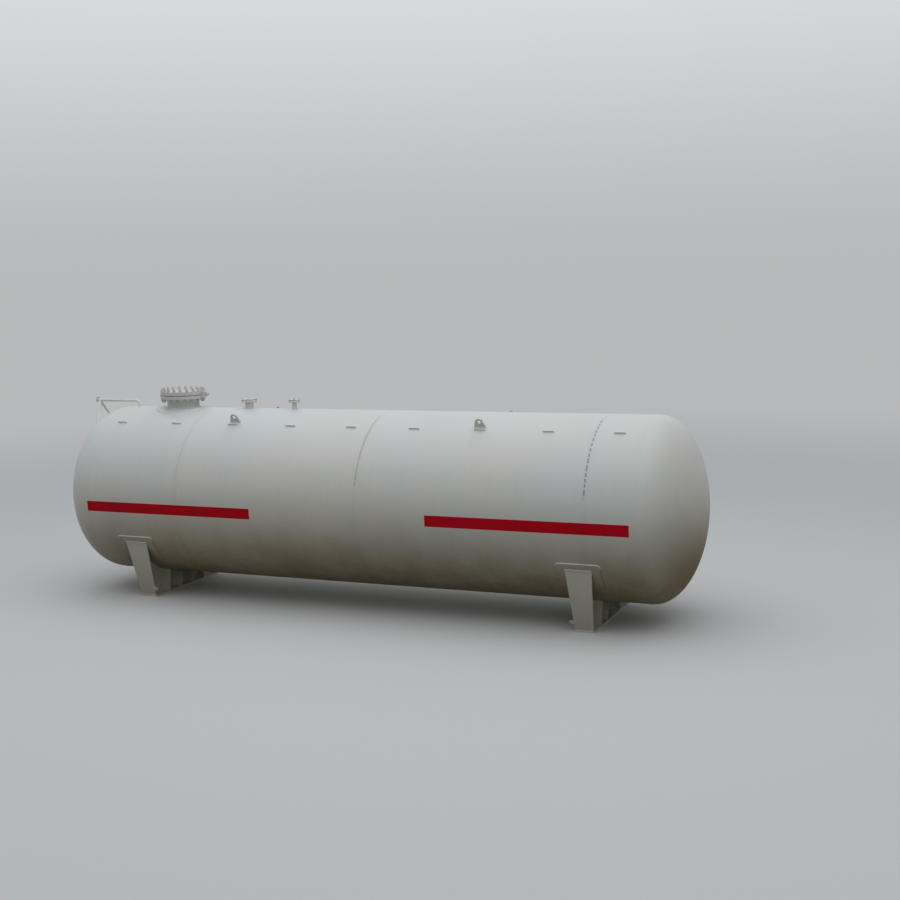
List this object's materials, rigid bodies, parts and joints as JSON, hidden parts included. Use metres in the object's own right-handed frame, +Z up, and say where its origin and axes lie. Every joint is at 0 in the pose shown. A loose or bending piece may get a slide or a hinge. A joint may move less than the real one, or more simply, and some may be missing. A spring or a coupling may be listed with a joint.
{
  "type": "horizontal pressure tank",
  "caption": "Horizontal welded pressure tank with dished heads on two saddles, with a bolted manway, blinded top nozzles, lifting lugs and a ladder frame.",
  "frame": {"origin": "on the floor, under the middle of the tank", "axes": "+X along the tank away from the manway end, +Z up, -Y is the side that the picture shows"},
  "size_m": [10.112, 2.6376, 3.173],
  "materials": {
    "shell_paint": "semi-gloss off-white paint with dust",
    "saddle_paint": "semi-gloss pale grey paint",
    "flange_paint": "off-white paint over forged steel",
    "stripe_paint": "deep red paint stripe",
    "gasket": "compressed fibre sheet",
    "bolt_steel": "dull steel"
  },
  "bodies": {
    "root": {"left_head": "shell_paint", "shell_course_1": "shell_paint", "shell_course_2": "shell_paint", "shell_course_3": "shell_paint", "shell_course_4": "shell_paint", "right_head": "shell_paint", "girth_welds": "shell_paint", "long_welds": "shell_paint", "manway_pad": "shell_paint", "manway_neck": "shell_paint", "manway_flange": "flange_paint", "manway_cover": "flange_paint", "manway_hinge_plates": "flange_paint", "manway_hinge_tongue": "flange_paint", "manway_hinge_pin": "bolt_steel", "safety_valve_neck": "shell_paint", "safety_valve_flange": "flange_paint", "safety_valve_blind": "flange_paint", "vapour_neck": "shell_paint", "vapour_flange": "flange_paint", "vapour_blind": "flange_paint", "flange_gaskets": "gasket", "lifting_lugs": "shell_paint", "front_cleats": "shell_paint", "back_cleats": "shell_paint", "ladder_rail": "shell_paint", "front_ladder_strut": "shell_paint", "back_ladder_strut": "shell_paint", "ladder_stop": "shell_paint", "left_wear_plate": "saddle_paint", "left_saddle_web": "saddle_paint", "left_end_ribs": "saddle_paint", "left_inner_ribs": "saddle_paint", "left_base_plate": "saddle_paint", "right_wear_plate": "saddle_paint", "right_saddle_web": "saddle_paint", "right_end_ribs": "saddle_paint", "right_inner_ribs": "saddle_paint", "right_base_plate": "saddle_paint", "earthing_lugs": "bolt_steel"}
  },
  "joints": []
}
